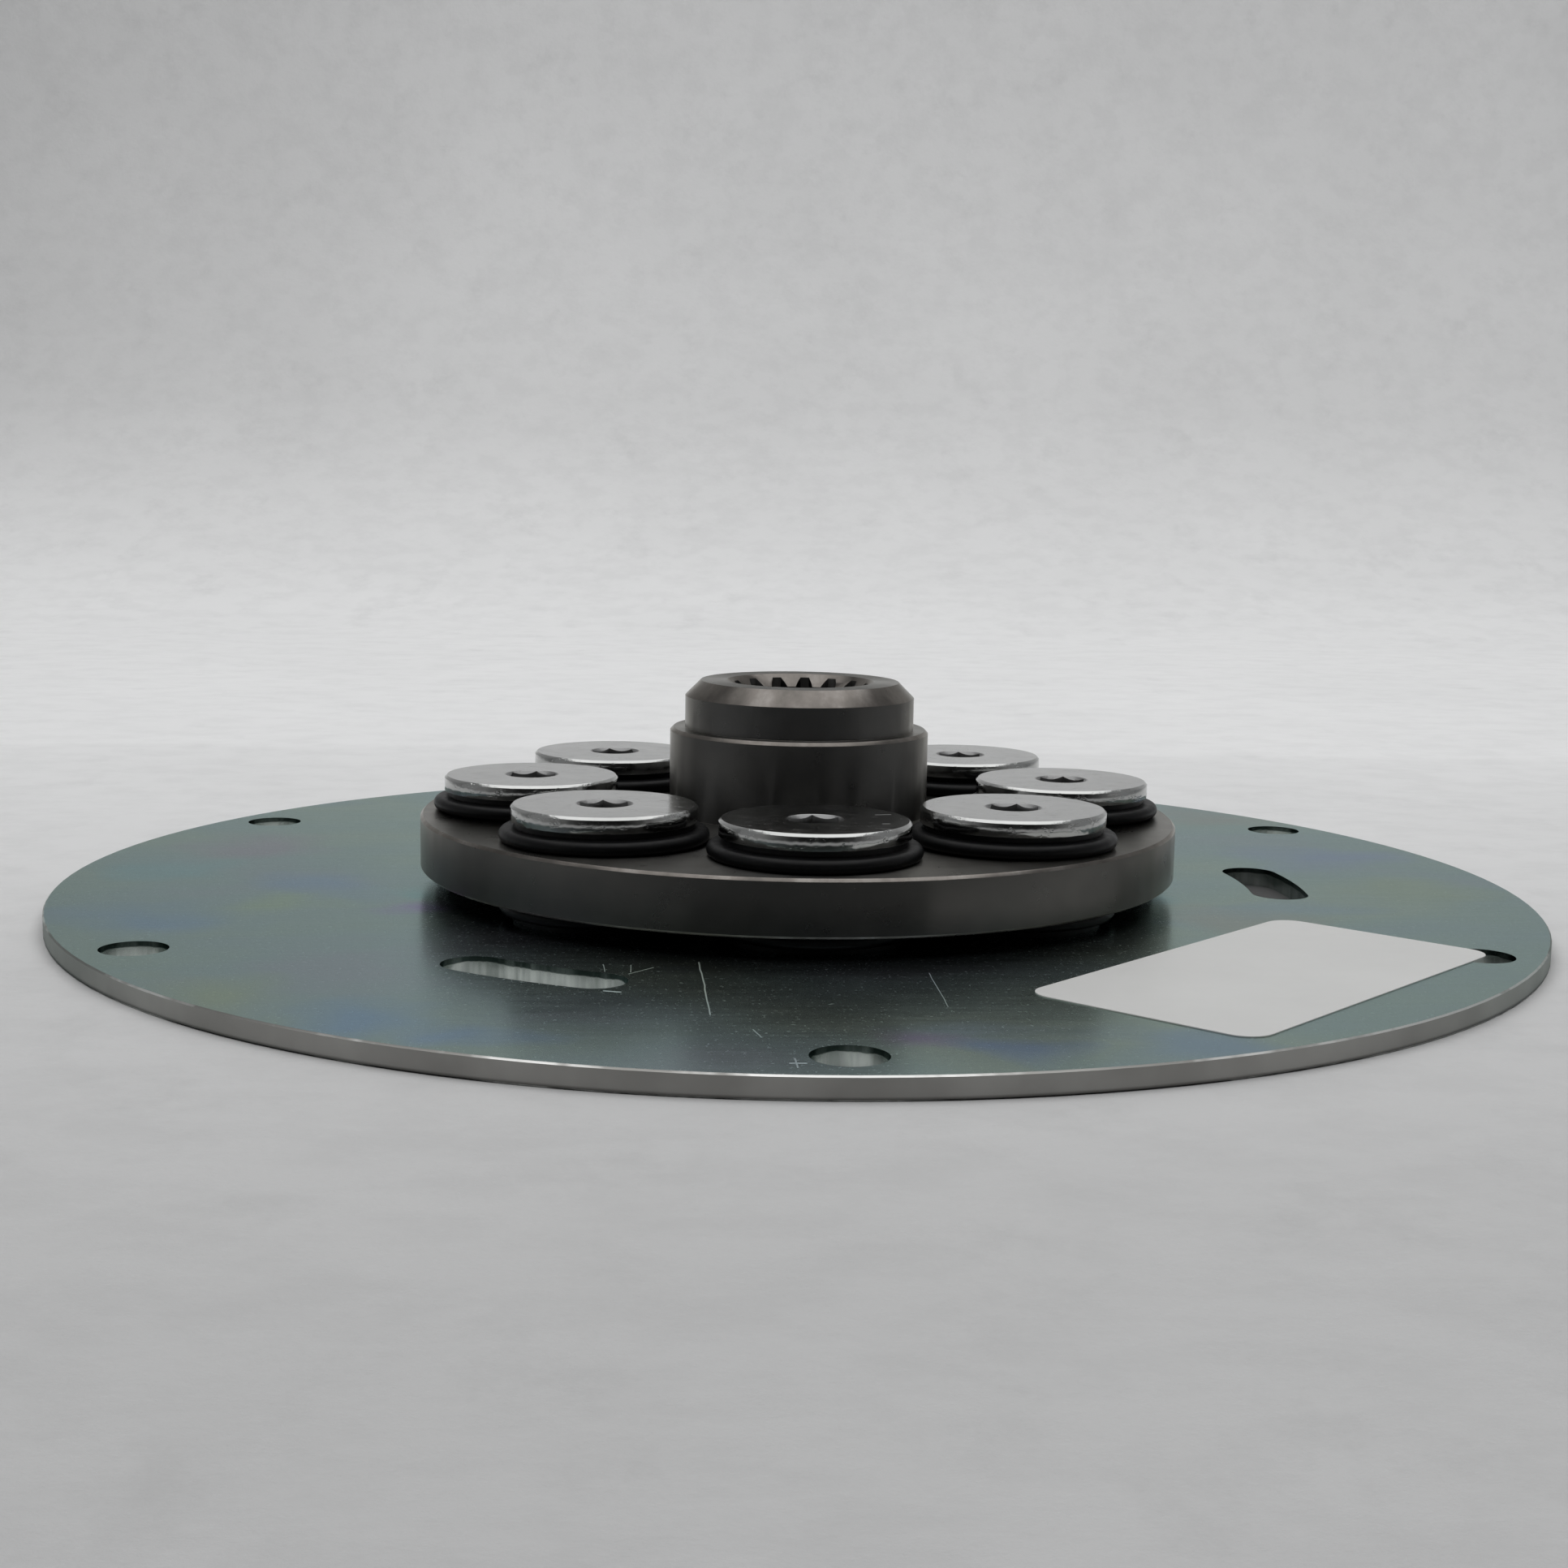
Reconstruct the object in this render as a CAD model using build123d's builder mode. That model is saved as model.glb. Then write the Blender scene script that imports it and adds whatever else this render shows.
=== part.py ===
"""Torsional disc coupling: a splined hub carried on a flywheel plate by eight rubber bushings.

The flat plate bolts to an engine flywheel. The hub slides on a pump's splined shaft. Between
them, eight rubber spools sit in the hub's flange, and a shouldered sleeve and a cap screw hold
each one to the plate, so that the drive passes through rubber.

Frame: millimetres, +Z up along the shaft, origin at the centre of the plate's underside.
Bolt hole 1, bushing 1 and sleeve 1 stand on the -Y axis.
"""

import os
from math import acos, cos, pi, radians, sin, tan

from build123d import *

INCH = 25.4

# Flywheel plate
plate_diameter = 263.5
plate_thickness = 3.4
plate_edge_break = 0.25
plate_bore_diameter = 2.0 * INCH
bolt_count = 6
bolt_circle_diameter = 244.48
bolt_hole_diameter = 10.7
slot_count = 3
slot_circle_diameter = 176.0
slot_width = 10.1
slot_end_spread = 14.0  # degrees between the centres of a slot's round ends
slot_start_angle = -120.0

# Splined hub
flange_diameter = 136.6
flange_thickness = 9.5
flange_top_break = 0.5
flange_bottom_break = 0.4
lower_neck_diameter = 47.0
lower_neck_height = 15.3  # above the flange
lower_neck_break = 0.6
upper_neck_diameter = 41.6
upper_neck_height = 8.55  # above the lower neck, to the top face
upper_neck_chamfer = 2.8

# Internal involute spline, 16/32 pitch, 30 degree pressure angle, fitted on the major diameter
spline_teeth = 15
spline_pitch_diameter = spline_teeth / 16 * INCH
spline_major_diameter = (spline_teeth + 1) / 16 * INCH
spline_minor_diameter = (spline_teeth - 1) / 16 * INCH
spline_pressure_angle = 30.0
spline_turn = -7.5  # degrees from the +Y axis to the middle of the nearest space
spline_mouth_diameter = 26.7
spline_mouth_angle = 45.0  # from the shaft axis
spline_foot_chamfer = 0.9

# Rubber bushings
bushing_count = 8
bushing_circle_diameter = 97.08
bushing_waist_diameter = 28.0
bushing_lip_diameter = 35.2
bushing_lip_thickness = 2.4
bushing_lip_break = 0.9
bushing_boss_diameter = 30.2
bushing_boss_height = 1.1
bushing_overhang = bushing_lip_thickness + bushing_boss_height

# Shouldered sleeves
sleeve_diameter = 19.0
spigot_diameter = 16.0

# Cap screws, M12 with a low wide head
screw_diameter = 12.0
screw_length = 16.0  # under the head
head_diameter = 31.3
head_thickness = 2.7
head_top_break = 0.45
socket_across_flats = 8.0
socket_depth = 5.5
socket_countersink_diameter = 9.5
socket_countersink_angle = 104.0
socket_turns = (3.0, 59.0, 16.0, 42.0, 35.0, 30.0, 23.0, 50.0)  # degrees, as each was tightened

# Heights that follow from the sizes above
flange_bottom = plate_thickness + bushing_overhang
flange_top = flange_bottom + flange_thickness
ledge_height = flange_top + lower_neck_height
hub_top = ledge_height + upper_neck_height
head_seat = flange_top + bushing_overhang
head_top = head_seat + head_thickness

first_angle = -90.0
bushing_angles = [first_angle + 360 / bushing_count * i for i in range(bushing_count)]


def involute(angle):
    """The involute function of a pressure angle in radians."""
    return tan(angle) - angle


def space_half_width(radius):
    """Half the angle, in radians, that a spline space spans at a radius."""
    base_radius = spline_pitch_diameter / 2 * cos(radians(spline_pressure_angle))
    pitch_half_angle = pi / (2 * spline_teeth)
    rise = involute(acos(base_radius / radius))
    return pitch_half_angle + involute(radians(spline_pressure_angle)) - rise


def flank_point(radius, side):
    """The point of a space's flank at a radius; side is +1 or -1."""
    angle = side * space_half_width(radius)
    return (radius * cos(angle), radius * sin(angle))


def station(angle):
    """The plane of one bushing station: on the bushing circle, its X axis pointing outward."""
    radius = bushing_circle_diameter / 2
    origin = (radius * cos(radians(angle)), radius * sin(radians(angle)), 0)
    return Plane(origin=origin, x_dir=(cos(radians(angle)), sin(radians(angle)), 0), z_dir=(0, 0, 1))


def upright(plane):
    """The plane through a station's axis for a turned profile: X outward, Y up."""
    return Plane(origin=plane.origin, x_dir=plane.x_dir, z_dir=plane.x_dir.cross(plane.z_dir))


def axis_of(plane):
    """A station's vertical axis."""
    return Axis(plane.origin, plane.z_dir)


os.makedirs("parts", exist_ok=True)

# Flywheel plate: a flat blanked disc with bolt holes, sleeve holes and kidney slots
with BuildPart() as flywheel_plate:
    with BuildSketch():
        Circle(plate_diameter / 2)
        Circle(plate_bore_diameter / 2, mode=Mode.SUBTRACT)
        with PolarLocations(bolt_circle_diameter / 2, bolt_count, start_angle=first_angle):
            Circle(bolt_hole_diameter / 2, mode=Mode.SUBTRACT)
        with PolarLocations(bushing_circle_diameter / 2, bushing_count, start_angle=first_angle):
            Circle(spigot_diameter / 2, mode=Mode.SUBTRACT)
        for index in range(slot_count):
            slot_middle = slot_start_angle + 360 / slot_count * index
            slot_line = CenterArc(
                (0, 0), slot_circle_diameter / 2, slot_middle - slot_end_spread / 2, slot_end_spread
            )
            SlotArc(slot_line, slot_width, mode=Mode.SUBTRACT)
    extrude(amount=plate_thickness)
    rim = flywheel_plate.edges().filter_by(GeomType.CIRCLE)
    chamfer(rim.filter_by(lambda e: e.radius > bolt_circle_diameter / 2), plate_edge_break)
flywheel_plate.part.label = "flywheel_plate"
export_step(flywheel_plate.part, "parts/flywheel_plate.step")

# One space of the internal spline, on the +X axis, reaching a little inside the minor diameter
inner_radius = spline_minor_diameter / 2
root_radius = spline_major_diameter / 2
flank_steps = 3
flank_radii = [
    inner_radius + (root_radius - inner_radius) * step / flank_steps for step in range(flank_steps + 1)
]
with BuildSketch() as spline_space:
    with BuildLine():
        right_flank = Spline([flank_point(radius, -1) for radius in flank_radii])
        ThreePointArc(right_flank @ 1, (root_radius, 0), flank_point(root_radius, 1))
        left_flank = Spline([flank_point(radius, 1) for radius in reversed(flank_radii)])
        Polyline(left_flank @ 1, (inner_radius - 1, 0), right_flank @ 0)
    make_face()

# Splined hub: turned from one piece, then bored for the bushings and broached
with BuildPart() as splined_hub:
    with BuildSketch(Plane.XZ):
        with BuildLine():
            Polyline(
                (0, flange_bottom),
                (flange_diameter / 2, flange_bottom),
                (flange_diameter / 2, flange_top),
                (lower_neck_diameter / 2, flange_top),
                (lower_neck_diameter / 2, ledge_height),
                (upper_neck_diameter / 2, ledge_height),
                (upper_neck_diameter / 2, hub_top),
                (0, hub_top),
                close=True,
            )
        make_face()
    revolve(axis=Axis.Z)

    rings = splined_hub.edges().filter_by(GeomType.CIRCLE)
    chamfer(rings.filter_by_position(Axis.Z, hub_top, hub_top), upper_neck_chamfer)
    rings = splined_hub.edges().filter_by(GeomType.CIRCLE)
    ledge_rings = rings.filter_by_position(Axis.Z, ledge_height, ledge_height).sort_by(SortBy.RADIUS)
    chamfer(ledge_rings[-1], lower_neck_break)
    flange_rings = rings.filter_by_position(Axis.Z, flange_top, flange_top).sort_by(SortBy.RADIUS)
    chamfer(flange_rings[-1], flange_top_break)
    chamfer(rings.filter_by_position(Axis.Z, flange_bottom, flange_bottom), flange_bottom_break)

    with BuildSketch(Plane.XY.offset(flange_bottom)):
        with PolarLocations(bushing_circle_diameter / 2, bushing_count, start_angle=first_angle):
            Circle(bushing_waist_diameter / 2)
    extrude(amount=flange_thickness, mode=Mode.SUBTRACT)

    with BuildSketch(Plane.XY.offset(flange_bottom)):
        Circle(inner_radius)
        with PolarLocations(0, spline_teeth, start_angle=90 + spline_turn):
            add(spline_space.sketch)
    extrude(amount=hub_top - flange_bottom, mode=Mode.SUBTRACT)

    mouth_radius = spline_mouth_diameter / 2
    mouth_depth = (mouth_radius - inner_radius) / tan(radians(spline_mouth_angle))
    foot_radius = root_radius + spline_foot_chamfer / 2
    foot_depth = (foot_radius - inner_radius) / tan(radians(spline_mouth_angle))
    with BuildSketch(Plane.XZ):
        with BuildLine():
            Polyline(
                (0, hub_top),
                (mouth_radius, hub_top),
                (inner_radius, hub_top - mouth_depth),
                (0, hub_top - mouth_depth),
                close=True,
            )
        make_face()
        with BuildLine():
            Polyline(
                (0, flange_bottom),
                (foot_radius, flange_bottom),
                (inner_radius, flange_bottom + foot_depth),
                (0, flange_bottom + foot_depth),
                close=True,
            )
        make_face()
    revolve(axis=Axis.Z, mode=Mode.SUBTRACT)
splined_hub.part.label = "splined_hub"
export_step(splined_hub.part, "parts/splined_hub.step")

# Rubber bushings: spools with a lip on each face of the flange and a boss beyond it
for number, angle in enumerate(bushing_angles, start=1):
    seat = station(angle)
    bore_radius = sleeve_diameter / 2
    waist_radius = bushing_waist_diameter / 2
    lip_radius = bushing_lip_diameter / 2
    boss_radius = bushing_boss_diameter / 2
    low_lip = flange_bottom - bushing_lip_thickness
    high_lip = flange_top + bushing_lip_thickness
    with BuildPart() as rubber_bushing:
        with BuildSketch(upright(seat)):
            with BuildLine():
                Polyline(
                    (bore_radius, plate_thickness),
                    (boss_radius, plate_thickness),
                    (boss_radius, low_lip),
                    (lip_radius, low_lip),
                    (lip_radius, flange_bottom),
                    (waist_radius, flange_bottom),
                    (waist_radius, flange_top),
                    (lip_radius, flange_top),
                    (lip_radius, high_lip),
                    (boss_radius, high_lip),
                    (boss_radius, head_seat),
                    (bore_radius, head_seat),
                    close=True,
                )
            make_face()
        revolve(axis=axis_of(seat))
        rings = rubber_bushing.edges().filter_by(GeomType.CIRCLE)
        lip_rings = rings.filter_by(lambda e: e.radius > boss_radius + 1)
        outer_rings = lip_rings.filter_by(
            lambda e: abs(e.center().Z - low_lip) < 0.01 or abs(e.center().Z - high_lip) < 0.01
        )
        chamfer(outer_rings, bushing_lip_break)
    rubber_bushing.part.label = f"rubber_bushing_{number}"
    export_step(rubber_bushing.part, f"parts/rubber_bushing_{number}.step")

# Sleeves: a shoulder on the plate, a spigot staked flush with its underside, threaded inside
for number, angle in enumerate(bushing_angles, start=1):
    seat = station(angle)
    with BuildPart() as spacer_sleeve:
        with BuildSketch(upright(seat)):
            with BuildLine():
                Polyline(
                    (screw_diameter / 2, 0),
                    (spigot_diameter / 2, 0),
                    (spigot_diameter / 2, plate_thickness),
                    (sleeve_diameter / 2, plate_thickness),
                    (sleeve_diameter / 2, head_seat),
                    (screw_diameter / 2, head_seat),
                    close=True,
                )
            make_face()
        revolve(axis=axis_of(seat))
    spacer_sleeve.part.label = f"spacer_sleeve_{number}"
    export_step(spacer_sleeve.part, f"parts/spacer_sleeve_{number}.step")

# Cap screws: a low wide head with a countersunk hexagon socket
for number, angle in enumerate(bushing_angles, start=1):
    seat = station(angle)
    tip = head_seat - screw_length
    with BuildPart() as cap_screw:
        with BuildSketch(upright(seat)):
            with BuildLine():
                Polyline(
                    (0, tip),
                    (screw_diameter / 2, tip),
                    (screw_diameter / 2, head_seat),
                    (head_diameter / 2, head_seat),
                    (head_diameter / 2, head_top),
                    (0, head_top),
                    close=True,
                )
            make_face()
        revolve(axis=axis_of(seat))
        rings = cap_screw.edges().filter_by(GeomType.CIRCLE)
        chamfer(rings.filter_by_position(Axis.Z, head_top, head_top), head_top_break)
        with BuildSketch(seat.offset(head_top)):
            RegularPolygon(
                socket_across_flats / 2, 6, major_radius=False, rotation=socket_turns[number - 1]
            )
        extrude(amount=-socket_depth, mode=Mode.SUBTRACT)
        flats_radius = socket_across_flats / 2
        sink_width = socket_countersink_diameter / 2 - flats_radius
        sink_depth = sink_width / tan(radians(socket_countersink_angle / 2))
        with BuildSketch(upright(seat)):
            with BuildLine():
                Polyline(
                    (0, head_top),
                    (socket_countersink_diameter / 2, head_top),
                    (flats_radius, head_top - sink_depth),
                    (0, head_top - sink_depth),
                    close=True,
                )
            make_face()
        revolve(axis=axis_of(seat), mode=Mode.SUBTRACT)
    cap_screw.part.label = f"cap_screw_{number}"
    export_step(cap_screw.part, f"parts/cap_screw_{number}.step")
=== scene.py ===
"""Looks for the torsional disc coupling: finishes, rounded rubber, sticker, studio and camera."""

import math

import bmesh
import bpy
from mathutils import Matrix, Vector


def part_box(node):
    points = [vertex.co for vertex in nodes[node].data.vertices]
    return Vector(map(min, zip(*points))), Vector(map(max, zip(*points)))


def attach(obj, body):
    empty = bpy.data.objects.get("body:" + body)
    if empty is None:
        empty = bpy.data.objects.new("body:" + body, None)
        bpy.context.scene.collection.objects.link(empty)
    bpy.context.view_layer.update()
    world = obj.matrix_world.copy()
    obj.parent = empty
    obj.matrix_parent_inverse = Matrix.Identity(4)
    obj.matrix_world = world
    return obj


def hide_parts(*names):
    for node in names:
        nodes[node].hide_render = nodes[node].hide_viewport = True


MM = 0.001
CM = 0.01
DM = 0.1

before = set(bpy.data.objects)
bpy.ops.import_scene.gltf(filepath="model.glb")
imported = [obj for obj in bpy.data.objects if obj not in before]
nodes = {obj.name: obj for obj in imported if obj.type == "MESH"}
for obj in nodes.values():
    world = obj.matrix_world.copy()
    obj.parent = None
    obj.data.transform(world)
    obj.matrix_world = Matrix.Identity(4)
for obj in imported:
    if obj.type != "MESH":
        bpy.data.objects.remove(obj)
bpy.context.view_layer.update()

plate_low, plate_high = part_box("flywheel_plate")
plate_radius = (plate_high.x - plate_low.x) / 2
plate_top = plate_high.z
bushing_names = sorted(name for name in nodes if name.startswith("rubber_bushing_"))
sleeve_names = sorted(name for name in nodes if name.startswith("spacer_sleeve_"))
screw_names = sorted(name for name in nodes if name.startswith("cap_screw_"))

# Rubber bushings: radii, thicknesses, and the boss's step in from the outside radius
BUSHING_STEPS = 96
BUSHING_BORE = 9.5 * MM
BUSHING_WAIST = 14.0 * MM
BUSHING_BOSS_INSET = 2.5 * MM
LIP_THICKNESS = 2.4 * MM
LIP_STEPS = 14
LIP_ROOT = 0.1 * MM
END_TO_FLANGE = 3.5 * MM
SHARP_ANGLE = 40.0

# Rounding of the CAD nodes' edges. Angles are in degrees.
WELD_DISTANCE = 0.002 * MM
EDGE_SEGMENTS = 3
EDGE_ANGLE = 25.0
SCREW_EDGE = 0.45 * MM
HUB_EDGE = 0.12 * MM

# How far in the rim's finish reaches, how high a screw head's side is and where it bulges
RIM_DEPTH = 0.6 * MM
HEAD_SIDE_HEIGHT = 2.7 * MM
HEAD_BULGE_SHARE = 0.35

# Tool marks: distance from one ring to the next
HUB_FACE_PITCH = 0.35 * MM
HUB_WALL_PITCH = 0.30 * MM
HEAD_PITCH = 0.45 * MM

# Sticker: 3 by 1.5 inches, turned in degrees
STICKER_LENGTH = 76.2 * MM
STICKER_WIDTH = 38.1 * MM
STICKER_THICKNESS = 0.15 * MM
STICKER_CORNER = 4.2 * MM
STICKER_CORNER_STEPS = 8
STICKER_CENTRE = (68.4 * MM, -73.5 * MM)
STICKER_TURN = 45.8

# Faint clouds in the plate's clear zinc: place on the noise, colour
PLATE_CLOUDS = (
    (0.32, (0.425, 0.450, 0.495)),
    (0.42, (0.402, 0.473, 0.486)),
    (0.52, (0.412, 0.487, 0.463)),
    (0.62, (0.442, 0.503, 0.450)),
    (0.72, (0.400, 0.468, 0.505)),
)

# Soft stains on the plate: centre in mm, radius in mm, colour
PLATE_STAINS = (
    (-69, -25, 8, (0.42, 0.31, 0.58)),
    (-67, -9, 6, (0.34, 0.51, 0.52)),
    (-85, -7, 12, (0.35, 0.43, 0.58)),
    (-88, -25, 7, (0.45, 0.53, 0.41)),
    (-107, -37, 13, (0.33, 0.43, 0.58)),
    (-104, 31, 15, (0.47, 0.41, 0.48)),
    (-116, 10, 10, (0.36, 0.50, 0.53)),
    (-91, -92, 13, (0.45, 0.50, 0.38)),
    (-64, -105, 10, (0.32, 0.43, 0.60)),
    (-49, -112, 8, (0.34, 0.44, 0.59)),
    (13, -114, 8, (0.43, 0.36, 0.52)),
    (24, -119, 8, (0.34, 0.42, 0.60)),
    (46, -118, 10, (0.35, 0.43, 0.54)),
    (64, -18, 8, (0.35, 0.49, 0.52)),
    (76, -32, 10, (0.46, 0.45, 0.42)),
    (106, 27, 15, (0.37, 0.41, 0.59)),
    (112, -8, 12, (0.45, 0.50, 0.40)),
    (93, 76, 12, (0.46, 0.44, 0.42)),
    (60, 108, 16, (0.35, 0.44, 0.55)),
    (-30, 112, 18, (0.45, 0.41, 0.50)),
)

# Scratches on the plate's top: two ends in mm, width in mm
PLATE_SCRATCHES = (
    ((-18.8, -68.5), (-17.7, -101.0), 0.30),
    ((15.8, -75.1), (16.1, -96.0), 0.16),
    ((-29.3, -76.6), (-25.6, -72.2), 0.22),
    ((-7.9, -125.9), (-5.8, -125.9), 0.45),
    ((-7.2, -123.6), (-7.0, -128.0), 0.30),
    ((-32.6, -87.3), (-30.4, -87.9), 0.55),
    ((-33.4, -70.2), (-33.0, -75.1), 0.18),
    ((-29.2, -70.6), (-29.1, -75.6), 0.18),
    ((-12.0, -109.0), (-11.0, -113.0), 0.22),
    ((84.0, 52.0), (97.0, 43.0), 0.14),
    ((-96.0, 58.0), (-74.0, 66.0), 0.14),
)

# Two short scratches on the front screw's head, in the same form
FRONT_HEAD_SCRATCHES = (
    ((10.2, -44.1), (12.6, -43.6), 0.35),
    ((10.5, -53.1), (11.5, -53.1), 0.35),
)

# A shadow is painted on the floor where it shows through the plate's right slot: centre of the painted
# shadow
PAINTED_SHADOW_SPOT = (88.0 * MM, 0.0)

# How far in front of the axis and to the left of it the stage's two painted shade gradients begin
FLOOR_PAINTED_SHADE_START = 0.2
LEFT_PAINTED_SHADE_START = 0.6


# Node helpers


class Material:
    """A node material with short calls for adding and joining nodes."""

    def __init__(self, name):
        self.material = bpy.data.materials.new(name)
        self.material.use_nodes = True
        self.tree = self.material.node_tree
        self.shader = self.tree.nodes["Principled BSDF"]

    def add(self, kind, **settings):
        """Add a node. Settings are its properties, or inputs when the name starts with in_."""
        node = self.tree.nodes.new(kind)
        for key, value in settings.items():
            if key.startswith("in_"):
                node.inputs[key[3:].replace("_", " ")].default_value = value
            else:
                setattr(node, key, value)
        return node

    def join(self, source, target):
        """Link an output socket to an input socket."""
        self.tree.links.new(source, target)

    def set(self, **values):
        """Set the shader's own sockets."""
        for key, value in values.items():
            if isinstance(value, tuple) and len(value) == 3:
                value = (*value, 1.0)
            self.shader.inputs[key.replace("_", " ")].default_value = value

    def finish(self, **sources):
        """Join outputs to the shader's sockets; returns the material."""
        for key, source in sources.items():
            self.join(source, self.shader.inputs[key.replace("_", " ")])
        return self.material

    def math(self, operation, first, second=None, clamp=False):
        """A Math node on sockets or numbers; returns its output."""
        node = self.add("ShaderNodeMath", operation=operation, use_clamp=clamp)
        for index, value in enumerate((first, second)):
            if value is None:
                continue
            if isinstance(value, (int, float)):
                node.inputs[index].default_value = value
            else:
                self.join(value, node.inputs[index])
        return node.outputs[0]

    def product(self, *values):
        """Several sockets or numbers multiplied."""
        total = values[0]
        for value in values[1:]:
            total = self.math("MULTIPLY", total, value)
        return total

    def vector_math(self, operation, first, second=None):
        """A Vector Math node on a socket and a socket or vector; returns the node."""
        node = self.add("ShaderNodeVectorMath", operation=operation)
        self.join(first, node.inputs[0])
        if isinstance(second, tuple):
            node.inputs[1].default_value = second
        elif second is not None:
            self.join(second, node.inputs[1])
        return node

    def mix(self, factor, first, second, blend="MIX"):
        """A colour mix of sockets or colours; returns its output."""
        node = self.add("ShaderNodeMix", data_type="RGBA", blend_type=blend)
        for index, value in ((0, factor), (6, first), (7, second)):
            if isinstance(value, (int, float)):
                node.inputs[index].default_value = value
            elif isinstance(value, tuple):
                node.inputs[index].default_value = (*value, 1.0)
            else:
                self.join(value, node.inputs[index])
        return node.outputs[2]

    def shade(self, colour, *shades):
        """A colour darkened by one or more shades."""
        for shade in shades:
            colour = self.mix(1.0, colour, shade, blend="MULTIPLY")
        return colour

    def ramp(self, factor, *stops):
        """A colour ramp; each stop is (position, value or colour)."""
        node = self.add("ShaderNodeValToRGB")
        elements = node.color_ramp.elements
        while len(elements) < len(stops):
            elements.new(0.5)
        for element, (position, value) in zip(elements, stops):
            colour = value if isinstance(value, tuple) else grey(value)
            element.position = position
            element.color = (*colour, 1.0)
        self.join(factor, node.inputs[0])
        return node.outputs[0]

    def position(self):
        """The object's own coordinates, in metres."""
        return self.add("ShaderNodeTexCoord").outputs["Object"]

    def split(self, vector):
        """The X, Y and Z outputs of a vector."""
        node = self.add("ShaderNodeSeparateXYZ")
        self.join(vector, node.inputs[0])
        return node.outputs

    def height(self):
        """The object's own Z coordinate, in metres."""
        return self.split(self.position())["Z"]

    def place(self, scale=(1, 1, 1), turn=0.0):
        """Object coordinates, scaled and turned about Z."""
        mapping = self.add("ShaderNodeMapping", in_Scale=scale, in_Rotation=(0, 0, turn))
        self.join(self.position(), mapping.inputs["Vector"])
        return mapping.outputs["Vector"]

    def noise(self, vector, scale, detail=3.0, roughness=0.5, distortion=0.0):
        """A noise texture's value."""
        node = self.add(
            "ShaderNodeTexNoise",
            in_Scale=scale,
            in_Detail=detail,
            in_Roughness=roughness,
            in_Distortion=distortion,
        )
        self.join(vector, node.inputs["Vector"])
        return node.outputs["Fac"]

    def bump(self, height, distance, strength=1.0, normal=None):
        """A bump node from a height; returns its normal."""
        node = self.add("ShaderNodeBump", in_Distance=distance, in_Strength=strength)
        self.join(height, node.inputs["Height"])
        if normal is not None:
            self.join(normal, node.inputs["Normal"])
        return node.outputs["Normal"]

    def upness(self):
        """How much a face looks up or down: 1 on flat faces, 0 on walls."""
        normal = self.add("ShaderNodeNewGeometry").outputs["True Normal"]
        return self.math("ABSOLUTE", self.split(normal)["Z"])

    def wobble(self, scale, amount):
        """Object coordinates pushed about by noise, so that marks laid on them aren't quite straight."""
        place = self.position()
        node = self.add("ShaderNodeTexNoise", in_Scale=scale, in_Detail=2.0)
        self.join(place, node.inputs["Vector"])
        centred = self.vector_math("SUBTRACT", node.outputs["Color"], (0.5, 0.5, 0.5))
        push = self.vector_math("MULTIPLY_ADD", centred.outputs[0], (amount, amount, 0))
        self.join(place, push.inputs[2])
        return push.outputs[0]

    def offset(self, vector, x, y):
        """The level run from a point to each place, with no height in it."""
        away = self.vector_math("SUBTRACT", vector, (x, y, 0))
        return self.vector_math("MULTIPLY", away.outputs[0], (1, 1, 0)).outputs[0]

    def radius_from(self, x=0.0, y=0.0, vector=None):
        """Distance from a vertical axis, in metres."""
        if vector is None:
            vector = self.position()
        level = self.offset(vector, x, y)
        return self.vector_math("LENGTH", level).outputs["Value"]

    def scratch(self, vector, start, end, width):
        """A mask of one thin line between two points. All are in mm."""
        run = ((end[0] - start[0]) * MM, (end[1] - start[1]) * MM, 0)
        square = run[0] ** 2 + run[1] ** 2
        level = self.offset(vector, start[0] * MM, start[1] * MM)
        along = self.vector_math("DOT_PRODUCT", level, (run[0] / square, run[1] / square, 0))
        share = self.math("MULTIPLY", along.outputs["Value"], 1.0, clamp=True)
        nearest = self.add("ShaderNodeVectorMath", operation="SCALE")
        nearest.inputs[0].default_value = run
        self.join(share, nearest.inputs["Scale"])
        gap = self.vector_math("DISTANCE", level, nearest.outputs[0]).outputs["Value"]
        return self.ramp(self.math("DIVIDE", gap, width * MM), (0.25, 1.0), (0.5, 0.0))

    def scratches(self, vector, lines):
        """One mask of several scratches."""
        total = self.scratch(vector, *lines[0])
        for line in lines[1:]:
            total = self.math("MAXIMUM", total, self.scratch(vector, *line))
        return total


def grey(value):
    """A neutral colour."""
    return (value, value, value)


# Finishes


def plate_face_colour(m):
    """Faint rainbow clouds and stains in the clear zinc."""
    clouds = m.noise(m.place(scale=(1, 1.6, 1), turn=0.3), 16.0, detail=3.0, roughness=0.45)
    colour = m.ramp(clouds, *PLATE_CLOUDS)
    pushed = m.wobble(38.0, 36 * MM)
    for x, y, radius, stain in PLATE_STAINS:
        near = m.radius_from(x * MM, y * MM, pushed)
        share = m.math("DIVIDE", near, 2 * radius * MM)
        colour = m.mix(m.ramp(share, (0.12, 0.90), (0.62, 0.0)), colour, stain)
    return colour


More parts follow.
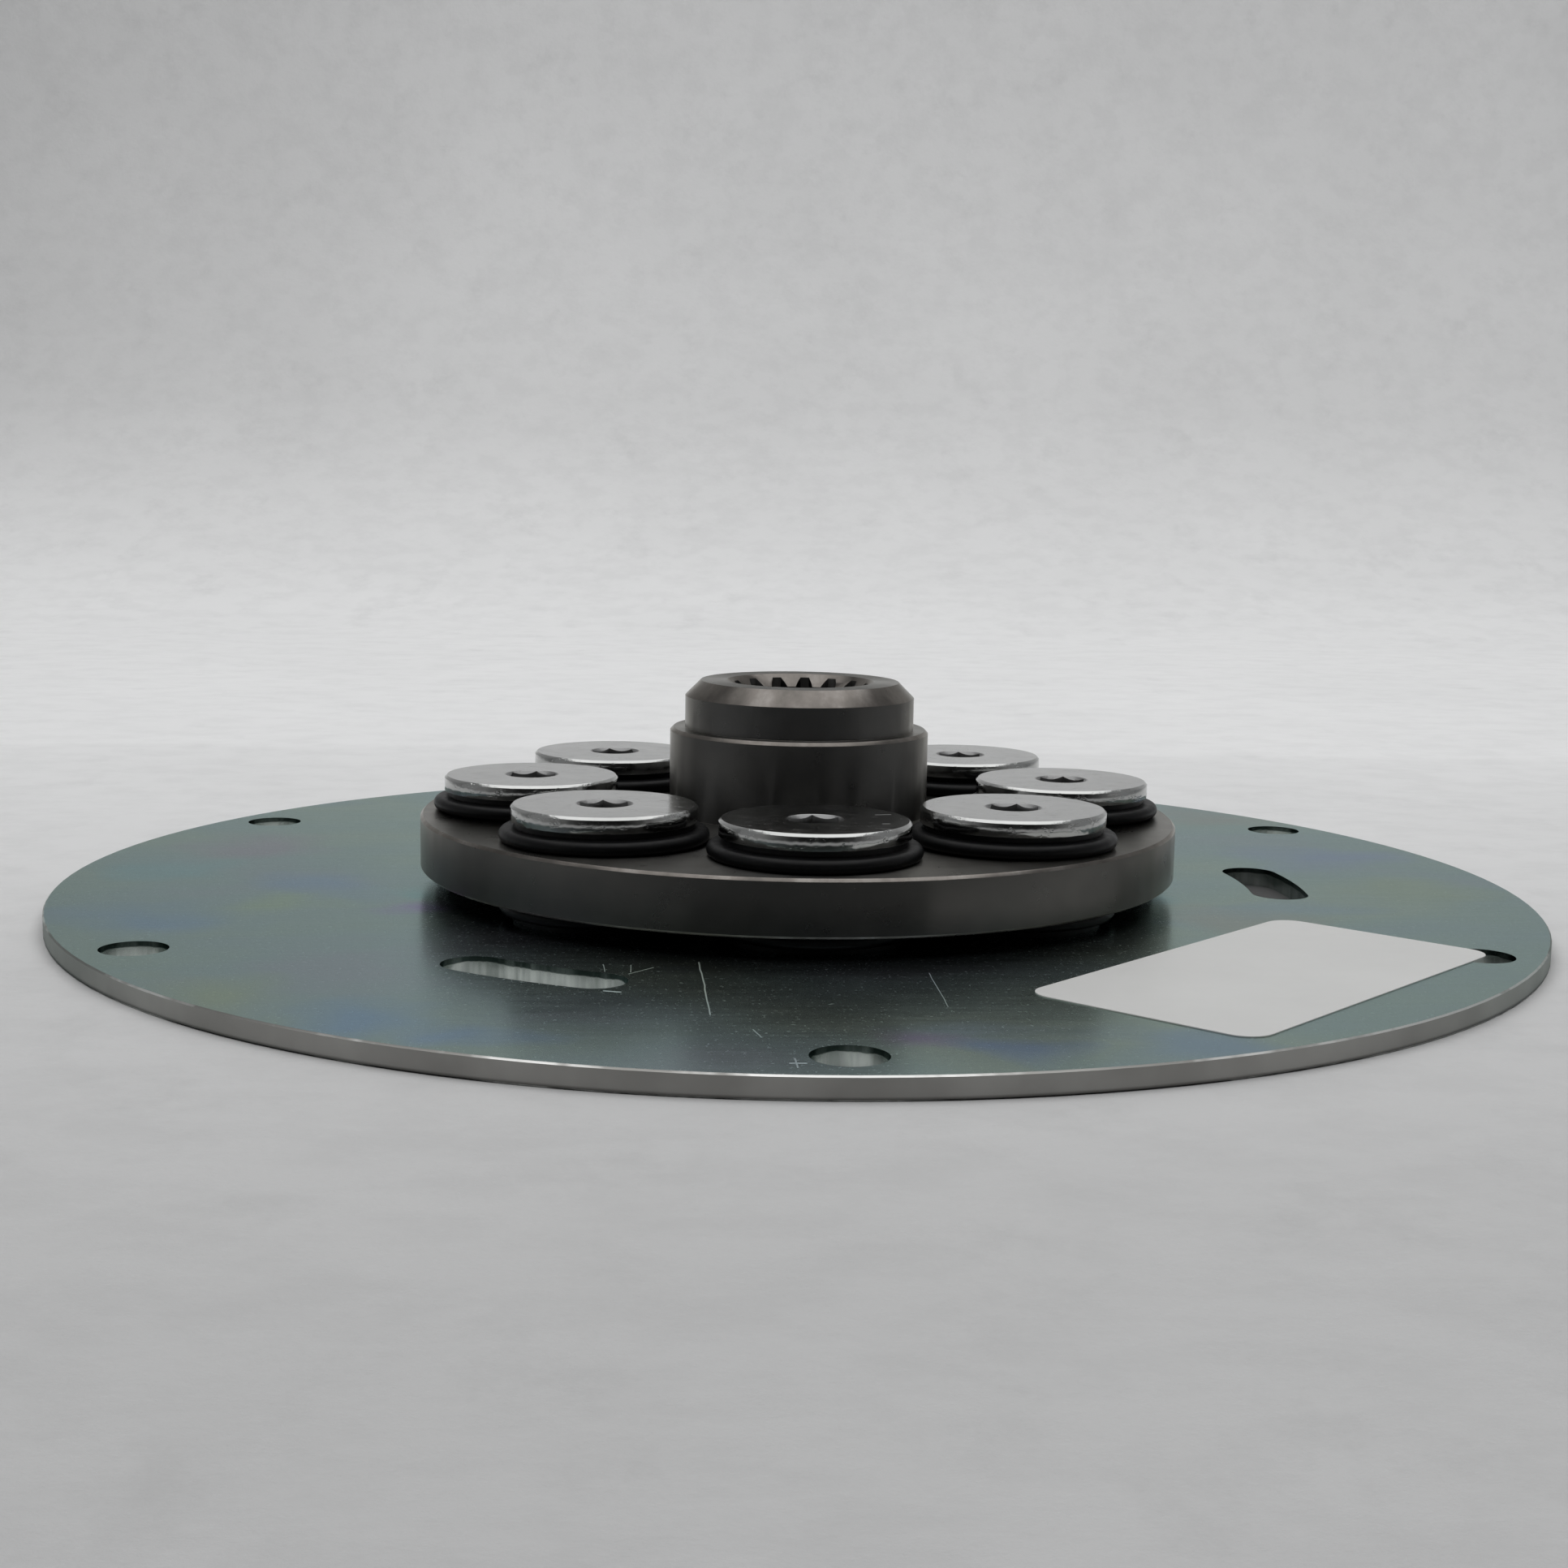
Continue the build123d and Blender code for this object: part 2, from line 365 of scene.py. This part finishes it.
def plate_edge_colour(m, outer):
    """The satin rim, shaded at its foot by a painted contact shadow and flecked with light specks on its
    edge break that are partly wear, partly painted glints; and the holes' walls, a shear-polished band
    above a rough fracture band, painted dark and light as reflections of shade above and of the pale floor
    below.
    """
    rise = m.math("DIVIDE", m.height(), plate_top)
    uneven = m.noise(m.place(), 55.0, detail=4.0)
    rim = m.ramp(uneven, (0.35, (0.310, 0.305, 0.290)), (0.65, (0.400, 0.395, 0.378)))
    # painted shade: the rim darkens towards its bottom edge, a painted contact shadow where it meets the
    # floor
    rim = m.shade(rim, m.ramp(rise, (0.08, 0.35), (0.20, 1.0)))

    stripes = m.noise(m.place(scale=(1, 1, 0.15)), 330.0, detail=3.0, roughness=0.6)
    # painted reflections: the wall's upper band is coloured dark for the shade it reflects from the near
    # wall, its lower band light for the pale floor; also the punched wall's polished and rough zones
    upper_band_painted_dark = m.ramp(stripes, (0.45, (0.03, 0.045, 0.04)), (0.66, (0.15, 0.18, 0.17)))
    lower_band_painted_light = m.ramp(stripes, (0.38, (0.34, 0.38, 0.36)), (0.60, (0.62, 0.67, 0.64)))
    band = m.math("ADD", rise, m.product(stripes, 0.25))
    wall = m.mix(m.ramp(band, (0.84, 0.0), (0.89, 1.0)), lower_band_painted_light, upper_band_painted_dark)

    corner = m.ramp(m.upness(), (0.30, 0.0), (0.50, 1.0), (0.85, 1.0), (0.95, 0.0))
    patches = m.noise(m.place(), 26.0, detail=5.0, roughness=0.65)
    # partly wear, partly painted highlight: light specks on the rim's edge break stand in for glints of the
    # lamp
    wear_and_glint = m.product(corner, m.ramp(patches, (0.50, 0.0), (0.58, 1.0)), outer)
    return m.mix(wear_and_glint, m.mix(outer, wall, rim), (0.80, 0.80, 0.78))


def plate_roughness(m, flat, outer, scratched):
    """Satin with faint streaks and dull specks, scratches duller still, and the holes' walls glossy."""
    specks = m.noise(m.place(scale=(1, 0.7, 1)), 1500.0, detail=4.0, roughness=0.7)
    specks = m.product(m.ramp(specks, (0.60, 0.0), (0.70, 1.0)), 0.7)
    streaks = m.noise(m.place(scale=(1, 14, 1), turn=0.12), 60.0, detail=6.0, roughness=0.65)
    satin = m.ramp(streaks, (0.3, 0.20), (0.7, 0.26))
    satin = m.mix(specks, satin, grey(0.50))
    satin = m.mix(scratched, satin, grey(0.62))
    edge = m.mix(outer, grey(0.24), grey(0.46))
    return m.mix(flat, edge, satin)


def plate_material():
    """Clear zinc on sheet steel: rainbow stains, grain, scratches, a satin rim and glossy cut walls."""
    m = Material("zinc_plate")
    m.set(Metallic=1.0, Specular_Tint=(0.60, 0.69, 0.68))
    flat = m.ramp(m.upness(), (0.78, 0.0), (0.95, 1.0))
    outer = m.math("GREATER_THAN", m.radius_from(), plate_radius - RIM_DEPTH)
    scratched = m.scratches(m.wobble(90.0, 0.6 * MM), PLATE_SCRATCHES)
    grain = m.noise(m.place(scale=(1, 5, 1), turn=0.12), 900.0, detail=3.0)
    waves = m.noise(m.place(), 70.0, detail=2.0)
    normal = m.bump(grain, 0.01 * MM, 0.35)
    normal = m.bump(waves, 0.04 * MM, 0.25, normal)
    normal = m.bump(scratched, 0.06 * MM, 1.0, normal)
    return m.finish(
        Base_Color=m.mix(flat, plate_edge_colour(m, outer), plate_face_colour(m)),
        Roughness=plate_roughness(m, flat, outer, scratched),
        Normal=normal,
    )


def turned_rings(m, distance, pitch):
    """Tool marks as a height from 0 to 1, a little uneven, along a radius or a height."""
    wave = m.math("SINE", m.product(distance, 2 * math.pi / pitch))
    uneven = m.noise(m.place(), 600.0, detail=2.0)
    return m.product(m.math("ADD", m.product(wave, 0.5), 0.5), uneven)


def hub_material():
    """Dark turned steel: reflections spread across the tool marks, and slanted edges lighter and warm,
    partly from wear and partly a painted highlight.
    """
    m = Material("hub_steel")
    m.set(Metallic=1.0, Specular_Tint=(0.85, 0.84, 0.81), Anisotropic=0.88, Anisotropic_Rotation=0.25)
    tangent = m.add("ShaderNodeTangent", direction_type="RADIAL", axis="Z")
    stains = m.noise(m.place(scale=(1, 1, 1.6)), 22.0, detail=4.0, roughness=0.55)
    colour = m.ramp(
        stains,
        (0.30, (0.088, 0.088, 0.087)),
        (0.50, (0.114, 0.112, 0.107)),
        (0.70, (0.145, 0.140, 0.130)),
    )
    rubbed = m.noise(m.place(scale=(1, 1, 0.4)), 150.0, detail=5.0, roughness=0.6)
    wear_and_highlight = m.ramp(
        rubbed,
        (0.34, (0.125, 0.116, 0.106)),
        (0.50, (0.175, 0.160, 0.147)),
        (0.62, (0.240, 0.225, 0.210)),
        (0.70, (0.340, 0.330, 0.315)),
    )
    # partly wear, partly painted highlight: slanted faces such as the chamfers get the lighter colour,
    # standing in for the overhead light they catch
    slant = m.ramp(m.upness(), (0.15, 0.0), (0.35, 1.0), (0.88, 1.0), (0.97, 0.0))
    fine = m.noise(m.place(), 260.0, detail=4.0)

    marks = m.add("ShaderNodeMix", data_type="FLOAT")
    m.join(m.ramp(m.upness(), (0.4, 0.0), (0.9, 1.0)), marks.inputs[0])
    m.join(turned_rings(m, m.height(), HUB_WALL_PITCH), marks.inputs[2])
    m.join(turned_rings(m, m.radius_from(), HUB_FACE_PITCH), marks.inputs[3])
    return m.finish(
        Base_Color=m.mix(slant, colour, wear_and_highlight),
        Roughness=m.ramp(fine, (0.3, 0.27), (0.7, 0.32)),
        Tangent=tangent.outputs[0],
        Normal=m.bump(marks.outputs[0], 0.006 * MM, 0.5),
    )


def screw_normal(m, radius, side_low, side_high):
    """Fine rings on the head, a slightly barrelled side, nicks, and knocks along the edge."""
    normal = m.bump(turned_rings(m, radius, HEAD_PITCH), 0.004 * MM, 0.35)
    bulge_height = side_low + HEAD_BULGE_SHARE * (side_high - side_low)
    from_bulge = m.product(m.math("SUBTRACT", m.height(), bulge_height), 1 / MM)
    wall = m.math("LESS_THAN", m.upness(), 0.5)
    barrel = m.product(from_bulge, from_bulge, wall, -1.0)
    normal = m.bump(barrel, 0.07 * MM, 1.0, normal)
    nicks = m.noise(m.place(scale=(1, 1, 2)), 420.0, detail=3.0, roughness=0.7)
    normal = m.bump(m.ramp(nicks, (0.30, 0.0), (0.42, 1.0)), 0.07 * MM, 0.5, normal)
    edge = m.ramp(m.upness(), (0.10, 0.0), (0.30, 1.0), (0.90, 1.0), (0.98, 0.0))
    knocks = m.noise(m.place(), 900.0, detail=4.0, roughness=0.65)
    return m.bump(m.product(knocks, edge), 0.12 * MM, 0.5, normal)


def screw_material(name, x, y, side_low, side_high, scratches):
    """Bright zinc on a turned head, with a duller socket painted darker as painted shade in its recess."""
    m = Material(name)
    m.set(Metallic=1.0)
    tone = m.noise(m.place(), 90.0, detail=4.0)
    colour = m.ramp(tone, (0.3, (0.405, 0.410, 0.402)), (0.7, (0.490, 0.494, 0.484)))
    radius = m.radius_from(x, y)
    socket = m.ramp(m.product(radius, 1 / CM), (0.46, 1.0), (0.50, 0.0))
    satin = m.ramp(m.noise(m.place(), 300.0), (0.3, 0.11), (0.7, 0.19))
    satin = m.mix(socket, satin, grey(0.30))
    if scratches:
        satin = m.mix(m.scratches(m.position(), scratches), satin, grey(0.80))
    return m.finish(
        # painted shade: the socket and its countersink are coloured darker than the head
        Base_Color=m.mix(socket, colour, grey(0.20)),
        Roughness=satin,
        Normal=screw_normal(m, radius, side_low, side_high),
    )


def rubber_material():
    """Black moulded rubber, satin, a little dusty."""
    m = Material("bushing_rubber")
    m.set(Specular_IOR_Level=0.18)
    dust = m.noise(m.place(), 160.0, detail=5.0, roughness=0.6)
    return m.finish(
        Base_Color=m.ramp(dust, (0.40, (0.002, 0.002, 0.0025)), (0.80, (0.007, 0.007, 0.007))),
        Roughness=m.ramp(m.noise(m.place(), 500.0), (0.3, 0.38), (0.7, 0.50)),
        Normal=m.bump(m.noise(m.place(), 1500.0, detail=3.0), 0.02 * MM, 0.4),
    )


def sleeve_material():
    """Plain turned and plated steel."""
    m = Material("sleeve_steel")
    m.set(Metallic=1.0)
    tone = m.noise(m.place(), 120.0)
    return m.finish(
        Base_Color=m.ramp(tone, (0.3, (0.46, 0.46, 0.44)), (0.7, (0.56, 0.56, 0.54))),
        Roughness=m.ramp(m.noise(m.place(), 400.0), (0.3, 0.26), (0.7, 0.36)),
        Normal=m.bump(m.noise(m.place(), 900.0), 0.01 * MM, 0.3),
    )


def sticker_material():
    """White coated paper."""
    m = Material("sticker_paper")
    m.set(Specular_IOR_Level=0.4)
    tone = m.noise(m.place(), 45.0, detail=3.0)
    return m.finish(
        Base_Color=m.ramp(tone, (0.3, (0.70, 0.70, 0.685)), (0.7, (0.735, 0.735, 0.72))),
        Roughness=m.ramp(m.noise(m.place(), 300.0), (0.3, 0.40), (0.7, 0.48)),
        Normal=m.bump(m.noise(m.place(), 180.0, detail=4.0), 0.03 * MM, 0.3),
    )


def dress(node, material):
    """Give a CAD node its finish."""
    obj = nodes[node]
    obj.data.materials.clear()
    obj.data.materials.append(material)


def dress_screws():
    """Each screw has a finish of its own, because its rings run round its own axis."""
    for name in screw_names:
        low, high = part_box(name)
        middle = (low + high) / 2
        scratches = FRONT_HEAD_SCRATCHES if name == "cap_screw_1" else ()
        side_low = high.z - HEAD_SIDE_HEIGHT
        finish = screw_material(name + "_zinc", middle.x, middle.y, side_low, high.z, scratches)
        dress(name, finish)


# Shapes


def link(name, data):
    """Put an object with this data in the scene."""
    obj = bpy.data.objects.new(name, data)
    bpy.context.scene.collection.objects.link(obj)
    return obj


def soften_edges(node, width):
    """Round a CAD node's sharp edges a little, by modifiers that leave its own mesh alone."""
    obj = nodes[node]
    weld = obj.modifiers.new("weld", "WELD")
    weld.merge_threshold = WELD_DISTANCE
    bevel = obj.modifiers.new("edge_round", "BEVEL")
    bevel.width = width
    bevel.segments = EDGE_SEGMENTS
    bevel.limit_method = "ANGLE"
    bevel.angle_limit = math.radians(EDGE_ANGLE)
    bevel.use_clamp_overlap = True
    bevel.harden_normals = True


def new_piece(name, mesh, material):
    """Put a mesh in the scene as a piece of the part."""
    obj = link(name, mesh)
    mesh.materials.append(material)
    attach(obj, "root")
    return obj


def lip(radius, centre_z):
    """Profile points of a rounded lip that ends at a radius, from its underside to its top."""
    bulge = LIP_THICKNESS / 2
    points = []
    for step in range(LIP_STEPS + 1):
        angle = math.radians(-90 + 180 * step / LIP_STEPS)
        points.append((radius - bulge + bulge * math.cos(angle), centre_z + bulge * math.sin(angle)))
    return points


def bushing_profile(low, high, radius):
    """Half section of one spool between its end faces: boss, rounded lip, waist, lip, boss."""
    boss = radius - BUSHING_BOSS_INSET
    flange_low = low + END_TO_FLANGE
    flange_high = high - END_TO_FLANGE
    lip_span = LIP_THICKNESS + LIP_ROOT
    return [
        (BUSHING_BORE, low),
        (boss, low),
        (boss, flange_low - lip_span),
        *lip(radius, flange_low - LIP_THICKNESS / 2),
        (BUSHING_WAIST, flange_low),
        (BUSHING_WAIST, flange_high),
        *lip(radius, flange_high + LIP_THICKNESS / 2),
        (boss, flange_high + lip_span),
        (boss, high),
        (BUSHING_BORE, high),
    ]


def lathe(name, profile, centre, steps):
    """A closed ring turned from a half section about a vertical axis."""
    verts = []
    for turn in range(steps):
        angle = 2 * math.pi * turn / steps
        for radius, height in profile:
            verts.append((centre.x + radius * math.cos(angle), centre.y + radius * math.sin(angle), height))
    count = len(profile)
    faces = []
    for turn in range(steps):
        here = turn * count
        there = (turn + 1) % steps * count
        for index in range(count):
            following = (index + 1) % count
            faces.append((here + index, there + index, there + following, here + following))
    mesh = bpy.data.meshes.new(name)
    mesh.from_pydata(verts, [], faces)
    mesh.validate()
    mesh.update()
    shape = bmesh.new()
    shape.from_mesh(mesh)
    bmesh.ops.recalc_face_normals(shape, faces=shape.faces)
    shape.to_mesh(mesh)
    shape.free()
    mesh.set_sharp_from_angle(angle=math.radians(SHARP_ANGLE))
    for polygon in mesh.polygons:
        polygon.use_smooth = True
    return mesh


def make_bushings():
    """Rounded rubber spools in place of the plain CAD ones."""
    rubber = rubber_material()
    for name in bushing_names:
        low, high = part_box(name)
        radius = (high.x - low.x) / 2
        profile = bushing_profile(low.z, high.z, radius)
        mesh = lathe(name + "_moulded", profile, (low + high) / 2, BUSHING_STEPS)
        piece = new_piece(name + "_moulded", mesh, rubber)
        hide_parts(name)


def rounded_rectangle(length, width, radius, steps):
    """Corner points of a rounded rectangle centred on the origin, counterclockwise."""
    points = []
    for corner in range(4):
        sign_x = 1 if corner in (0, 3) else -1
        sign_y = 1 if corner in (0, 1) else -1
        centre = Vector((sign_x * (length / 2 - radius), sign_y * (width / 2 - radius), 0))
        for step in range(steps + 1):
            angle = math.radians(90 * corner + 90 * step / steps)
            points.append(centre + radius * Vector((math.cos(angle), math.sin(angle), 0)))
    return points


def make_sticker():
    """A blank white sticker, pressed on the plate's top face."""
    centre = Vector((*STICKER_CENTRE, plate_top))
    lift = Vector((0, 0, STICKER_THICKNESS))
    turn = Matrix.Rotation(math.radians(STICKER_TURN), 4, "Z")
    outline = rounded_rectangle(STICKER_LENGTH, STICKER_WIDTH, STICKER_CORNER, STICKER_CORNER_STEPS)
    bottom = [centre + turn @ point for point in outline]
    top = [point + lift for point in bottom]
    count = len(outline)
    bottom_face = tuple(reversed(range(count)))
    top_face = tuple(range(count, 2 * count))
    sides = [(i, (i + 1) % count, (i + 1) % count + count, i + count) for i in range(count)]
    mesh = bpy.data.meshes.new("sticker")
    mesh.from_pydata(bottom + top, [], [bottom_face, top_face, *sides])
    new_piece("sticker", mesh, sticker_material())


# Studio


def stage_material():
    """Pale card with painted light and shade: darker towards the front and the left, with a painted light
    step across the floor behind the plate, lightest low on the backdrop and darker higher up, and a painted
    shadow under the plate's right slot; with mottle, smudges, dents and bumps like folds.
    """
    m = Material("pale_card")
    m.set(Specular_IOR_Level=0.2, Roughness=0.6)
    where = m.split(m.position())
    # painted shade: the floor darkens towards the front, with a painted light step across it behind the
    # plate
    back = m.math("ADD", where["Y"], FLOOR_PAINTED_SHADE_START)
    floor = m.ramp(
        back,
        (0.0, 0.64),
        (0.12, 0.72),
        (0.22, 0.82),
        (0.405, 0.925),
        (0.415, 0.97),
        (0.9, 0.98),
    )
    height = where["Z"]
    # painted shade: the backdrop is darker partway up than at its foot
    rise = m.ramp(height, (0.0, 1.0), (0.03, 0.93), (0.114, 0.81), (0.233, 0.81), (0.36, 0.83))
    tone = m.shade(floor, rise)
    # painted shade: the floor darkens towards the left
    left = m.ramp(m.math("ADD", where["X"], LEFT_PAINTED_SHADE_START), (0.1, 0.78), (0.5, 1.0))
    on_wall = m.ramp(height, (0.02, 0.0), (0.15, 1.0))
    tone = m.mix(on_wall, tone, m.shade(tone, left))

    mottle = m.noise(m.place(), 9.0, detail=6.0, roughness=0.6, distortion=0.5)
    smudges = m.noise(m.place(scale=(1, 0.6, 1)), 45.0, detail=7.0, roughness=0.7)
    dents = m.noise(m.place(scale=(1, 1.3, 1)), 60.0, detail=7.0, roughness=0.65)
    from_painted_shadow = m.product(m.radius_from(*PAINTED_SHADOW_SPOT), 1 / DM)
    tone = m.shade(
        tone,
        m.ramp(mottle, (0.35, 0.965), (0.65, 1.0)),
        m.ramp(smudges, (0.32, 0.955), (0.44, 1.0)),
        # painted shadow: the floor is darkened in a spot under the plate's right slot
        m.ramp(from_painted_shadow, (0.28, 0.10), (0.36, 1.0)),
        m.ramp(dents, (0.38, 0.955), (0.56, 1.0)),
    )
    folds = m.bump(m.noise(m.place(), 30.0, detail=6.0), 0.9 * MM, 0.25)
    return m.finish(Base_Color=tone, Normal=m.bump(dents, 1.0 * MM, 0.5, folds))


def make_stage():
    """A pale floor that curves up into a backdrop."""
    half_width = 4.0
    front = -4.0
    wall_distance = 0.95
    wall_height = 1.6
    curve = 0.35
    steps = 16
    profile = [(front, 0.0)]
    for step in range(steps + 1):
        angle = math.radians(90 * step / steps)
        y = wall_distance - curve + curve * math.sin(angle)
        profile.append((y, curve - curve * math.cos(angle)))
    profile.append((wall_distance, wall_height))
    mesh = bpy.data.meshes.new("studio_floor")
    verts = [(x, y, z) for x in (-half_width, half_width) for y, z in profile]
    count = len(profile)
    faces = [(i, i + count, i + count + 1, i + 1) for i in range(count - 1)]
    mesh.from_pydata(verts, [], faces)
    for polygon in mesh.polygons:
        polygon.use_smooth = True
    floor = link("studio_floor", mesh)
    mesh.materials.append(stage_material())


def make_lights():
    """A big soft lamp overhead and a dim even room."""
    softbox = bpy.data.lights.new("overhead_softbox", "AREA")
    softbox.shape = "RECTANGLE"
    softbox.size = 2.0
    softbox.size_y = 2.0
    softbox.energy = 16.5
    lamp = link("overhead_softbox", softbox)
    lamp.location = (0.0, 0.10, 1.45)
    straight_down = Vector((0, 0, -1))
    lamp.rotation_euler = straight_down.to_track_quat("-Z", "Y").to_euler()
    world = bpy.data.worlds.new("studio_world")
    bpy.context.scene.world = world
    world.use_nodes = True
    background = world.node_tree.nodes["Background"]
    background.inputs["Color"].default_value = (0.62, 0.63, 0.64, 1.0)
    background.inputs["Strength"].default_value = 0.45


def screen_material():
    """Cloth that is dark in the middle and pale at its ends."""
    m = Material("dark_cloth")
    m.set(Roughness=0.9, Specular_IOR_Level=0.1)
    side = m.math("ABSOLUTE", m.split(m.position())["X"])
    return m.finish(Base_Color=m.ramp(side, (0.30, 0.02), (0.55, 0.12), (0.80, 0.5)))


def make_dark_screen():
    """A curved screen round the front, unseen by the camera, that the metal shows as a dark room."""
    distance = 0.85
    height = 0.75
    half_angle = 75
    steps = 30
    mesh = bpy.data.meshes.new("dark_screen")
    verts = []
    for step in range(steps + 1):
        angle = math.radians(-half_angle + 2 * half_angle * step / steps)
        x = distance * math.sin(angle)
        y = -distance * math.cos(angle)
        verts += [(x, y, 0.0), (x, y, height)]
    faces = [(2 * i, 2 * i + 2, 2 * i + 3, 2 * i + 1) for i in range(steps)]
    mesh.from_pydata(verts, [], faces)
    screen = link("dark_screen", mesh)
    mesh.materials.append(screen_material())
    screen.visible_camera = False
    screen.visible_shadow = False


def make_camera():
    """Low and close in front, turned a little right and tipped down."""
    data = bpy.data.cameras.new("camera")
    data.lens = 50.45
    data.sensor_width = 36.0
    camera = link("camera", data)
    yaw = Matrix.Rotation(math.radians(-3.07), 4, "Z")
    pitch = Matrix.Rotation(math.radians(90 - 8.19), 4, "X")
    roll = Matrix.Rotation(math.radians(0.99), 4, "Z")
    place = Matrix.Translation((-23.9 * MM, -397.6 * MM, 78.5 * MM))
    camera.matrix_world = place @ yaw @ pitch @ roll
    bpy.context.scene.camera = camera


dress("flywheel_plate", plate_material())
dress("splined_hub", hub_material())
sleeve_steel = sleeve_material()
for name in sleeve_names:
    dress(name, sleeve_steel)
dress_screws()

make_bushings()
for name in screw_names:
    soften_edges(name, SCREW_EDGE)
soften_edges("splined_hub", HUB_EDGE)
make_sticker()
make_stage()
make_lights()
make_dark_screen()
make_camera()
bpy.context.scene.view_settings.view_transform = "Standard"
